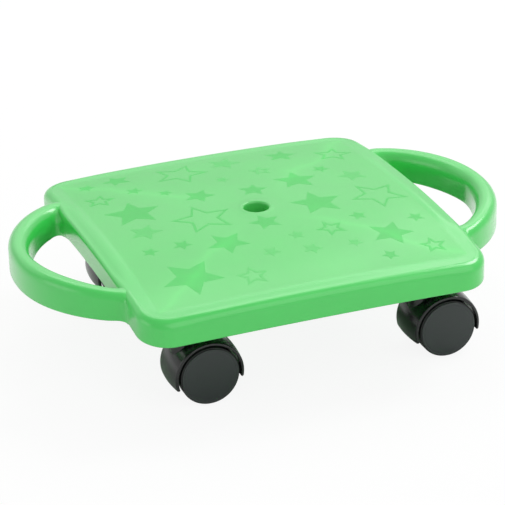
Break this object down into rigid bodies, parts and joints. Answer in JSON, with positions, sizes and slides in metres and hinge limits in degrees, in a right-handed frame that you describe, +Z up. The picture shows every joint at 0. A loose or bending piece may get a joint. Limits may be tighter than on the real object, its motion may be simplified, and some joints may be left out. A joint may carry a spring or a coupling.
{
  "type": "scooter board",
  "caption": "Low square riding board of moulded plastic: crowned deck with a scattered star pattern, loop handles moulded at two sides, hooded twin-wheel swivel casters at the corners.",
  "frame": {"origin": "centre of the board on the floor, under the centre hole", "axes": "+Z up, X through the two handles, Y across the sides that have no handle; the picture looks from -Y and a little from -X"},
  "size_m": [0.4322, 0.305, 0.1106],
  "materials": {
    "deck_plastic": "satin moulded plastic, light green",
    "hood_plastic": "glossy black moulded plastic",
    "wheel_plastic": "black moulded tread, satin",
    "cap_plastic": "smooth dark grey moulded disc, satin",
    "steel": "bright zinc-plated steel"
  },
  "bodies": {
    "deck": {"deck": "deck_plastic", "front_left_stem": "steel", "front_left_grip_ring": "steel", "front_left_stem_clip": "steel", "front_left_thrust_washer": "steel", "front_right_stem": "steel", "front_right_grip_ring": "steel", "front_right_stem_clip": "steel", "front_right_thrust_washer": "steel", "rear_left_stem": "steel", "rear_left_grip_ring": "steel", "rear_left_stem_clip": "steel", "rear_left_thrust_washer": "steel", "rear_right_stem": "steel", "rear_right_grip_ring": "steel", "rear_right_stem_clip": "steel", "rear_right_thrust_washer": "steel"},
    "front_left_caster": {"front_left_hood": "hood_plastic", "front_left_axle": "steel"},
    "front_left_outer_wheel_set": {"front_left_outer_wheel": "wheel_plastic", "front_left_outer_wheel_cap": "cap_plastic"},
    "front_left_inner_wheel_set": {"front_left_inner_wheel": "wheel_plastic", "front_left_inner_wheel_cap": "cap_plastic"},
    "front_right_caster": {"front_right_hood": "hood_plastic", "front_right_axle": "steel"},
    "front_right_outer_wheel_set": {"front_right_outer_wheel": "wheel_plastic", "front_right_outer_wheel_cap": "cap_plastic"},
    "front_right_inner_wheel_set": {"front_right_inner_wheel": "wheel_plastic", "front_right_inner_wheel_cap": "cap_plastic"},
    "rear_left_caster": {"rear_left_hood": "hood_plastic", "rear_left_axle": "steel"},
    "rear_left_outer_wheel_set": {"rear_left_outer_wheel": "wheel_plastic", "rear_left_outer_wheel_cap": "cap_plastic"},
    "rear_left_inner_wheel_set": {"rear_left_inner_wheel": "wheel_plastic", "rear_left_inner_wheel_cap": "cap_plastic"},
    "rear_right_caster": {"rear_right_hood": "hood_plastic", "rear_right_axle": "steel"},
    "rear_right_outer_wheel_set": {"rear_right_outer_wheel": "wheel_plastic", "rear_right_outer_wheel_cap": "cap_plastic"},
    "rear_right_inner_wheel_set": {"rear_right_inner_wheel": "wheel_plastic", "rear_right_inner_wheel_cap": "cap_plastic"}
  },
  "joints": [
    {"name": "front_left_swivel", "type": "hinge", "parent": "deck", "child": "front_left_caster", "pos_m": [-0.1069, -0.1035, 0.0614], "axis": [0, 0, 1], "continuous": true},
    {"name": "front_left_outer_wheel_spin", "type": "hinge", "parent": "front_left_caster", "child": "front_left_outer_wheel_set", "pos_m": [-0.0898, -0.1035, 0.0254], "axis": [0, 1, 0], "continuous": true},
    {"name": "front_left_inner_wheel_spin", "type": "hinge", "parent": "front_left_caster", "child": "front_left_inner_wheel_set", "pos_m": [-0.0898, -0.1035, 0.0254], "axis": [0, 1, 0], "continuous": true},
    {"name": "front_right_swivel", "type": "hinge", "parent": "deck", "child": "front_right_caster", "pos_m": [0.1069, -0.1035, 0.0614], "axis": [0, 0, 1], "continuous": true},
    {"name": "front_right_outer_wheel_spin", "type": "hinge", "parent": "front_right_caster", "child": "front_right_outer_wheel_set", "pos_m": [0.124, -0.1035, 0.0254], "axis": [0, 1, 0], "continuous": true},
    {"name": "front_right_inner_wheel_spin", "type": "hinge", "parent": "front_right_caster", "child": "front_right_inner_wheel_set", "pos_m": [0.124, -0.1035, 0.0254], "axis": [0, 1, 0], "continuous": true},
    {"name": "rear_left_swivel", "type": "hinge", "parent": "deck", "child": "rear_left_caster", "pos_m": [-0.1069, 0.1035, 0.0614], "axis": [0, 0, 1], "continuous": true},
    {"name": "rear_left_outer_wheel_spin", "type": "hinge", "parent": "rear_left_caster", "child": "rear_left_outer_wheel_set", "pos_m": [-0.0898, 0.1035, 0.0254], "axis": [0, 1, 0], "continuous": true},
    {"name": "rear_left_inner_wheel_spin", "type": "hinge", "parent": "rear_left_caster", "child": "rear_left_inner_wheel_set", "pos_m": [-0.0898, 0.1035, 0.0254], "axis": [0, 1, 0], "continuous": true},
    {"name": "rear_right_swivel", "type": "hinge", "parent": "deck", "child": "rear_right_caster", "pos_m": [0.1069, 0.1035, 0.0614], "axis": [0, 0, 1], "continuous": true},
    {"name": "rear_right_outer_wheel_spin", "type": "hinge", "parent": "rear_right_caster", "child": "rear_right_outer_wheel_set", "pos_m": [0.124, 0.1035, 0.0254], "axis": [0, 1, 0], "continuous": true},
    {"name": "rear_right_inner_wheel_spin", "type": "hinge", "parent": "rear_right_caster", "child": "rear_right_inner_wheel_set", "pos_m": [0.124, 0.1035, 0.0254], "axis": [0, 1, 0], "continuous": true}
  ]
}
